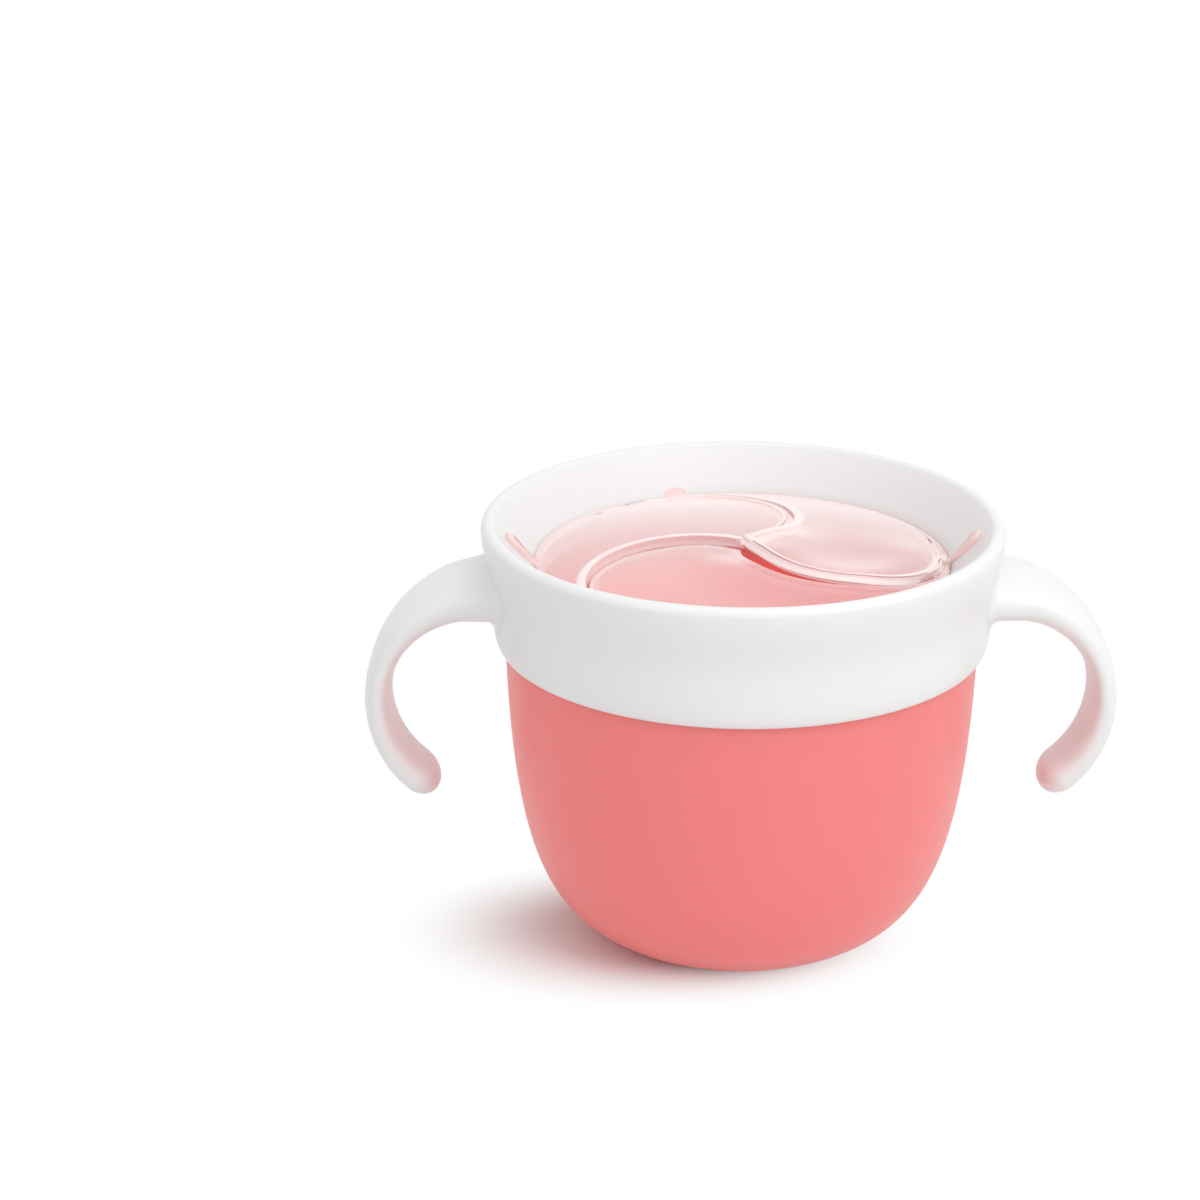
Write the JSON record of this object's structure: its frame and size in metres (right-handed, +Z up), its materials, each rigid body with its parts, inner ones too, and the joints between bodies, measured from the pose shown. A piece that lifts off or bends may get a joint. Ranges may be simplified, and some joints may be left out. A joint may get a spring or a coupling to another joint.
{
  "type": "toddler snack container",
  "caption": "Round snack cup for a toddler, with a push-fit collar, two open handles and a soft clear lid of overlapping flaps for a hand to push through.",
  "frame": {"origin": "centre of the cup's flat foot", "axes": "+Z up, +X through the right-hand handle, -Y towards the viewer of the picture"},
  "size_m": [0.1398, 0.096, 0.08],
  "materials": {
    "cup_coral": "satin moulded polypropylene, slightly translucent",
    "collar_white": "satin moulded polypropylene",
    "lid_clear": "clear soft elastomer, glossy"
  },
  "bodies": {
    "cup": {"cup": "cup_coral"},
    "collar": {"collar": "collar_white", "lid_frame": "lid_clear"},
    "front_flap": {"front_flap": "lid_clear"},
    "right_flap": {"right_flap": "lid_clear"},
    "left_flap": {"left_flap": "lid_clear"}
  },
  "joints": [
    {"name": "collar_lift", "type": "slide", "parent": "cup", "child": "collar", "axis": [0, 0, 1], "range_m": [0, 0.03]},
    {"name": "front_flap_hinge", "type": "hinge", "parent": "collar", "child": "front_flap", "pos_m": [-0.00809, -0.02156, 0.07346], "axis": [-0.7859, -0.6117, -0.0906], "range_deg": [-30, 70], "stiffness_Nm_per_rad": 0.01},
    {"name": "right_flap_hinge", "type": "hinge", "parent": "collar", "child": "right_flap", "pos_m": [0.02272, 0.00377, 0.07346], "axis": [0.9227, -0.3748, -0.0906], "range_deg": [-30, 70], "stiffness_Nm_per_rad": 0.01},
    {"name": "left_flap_hinge", "type": "hinge", "parent": "collar", "child": "left_flap", "pos_m": [-0.01463, 0.01779, 0.07346], "axis": [-0.1368, 0.9864, -0.0906], "range_deg": [-30, 70], "stiffness_Nm_per_rad": 0.01}
  ]
}
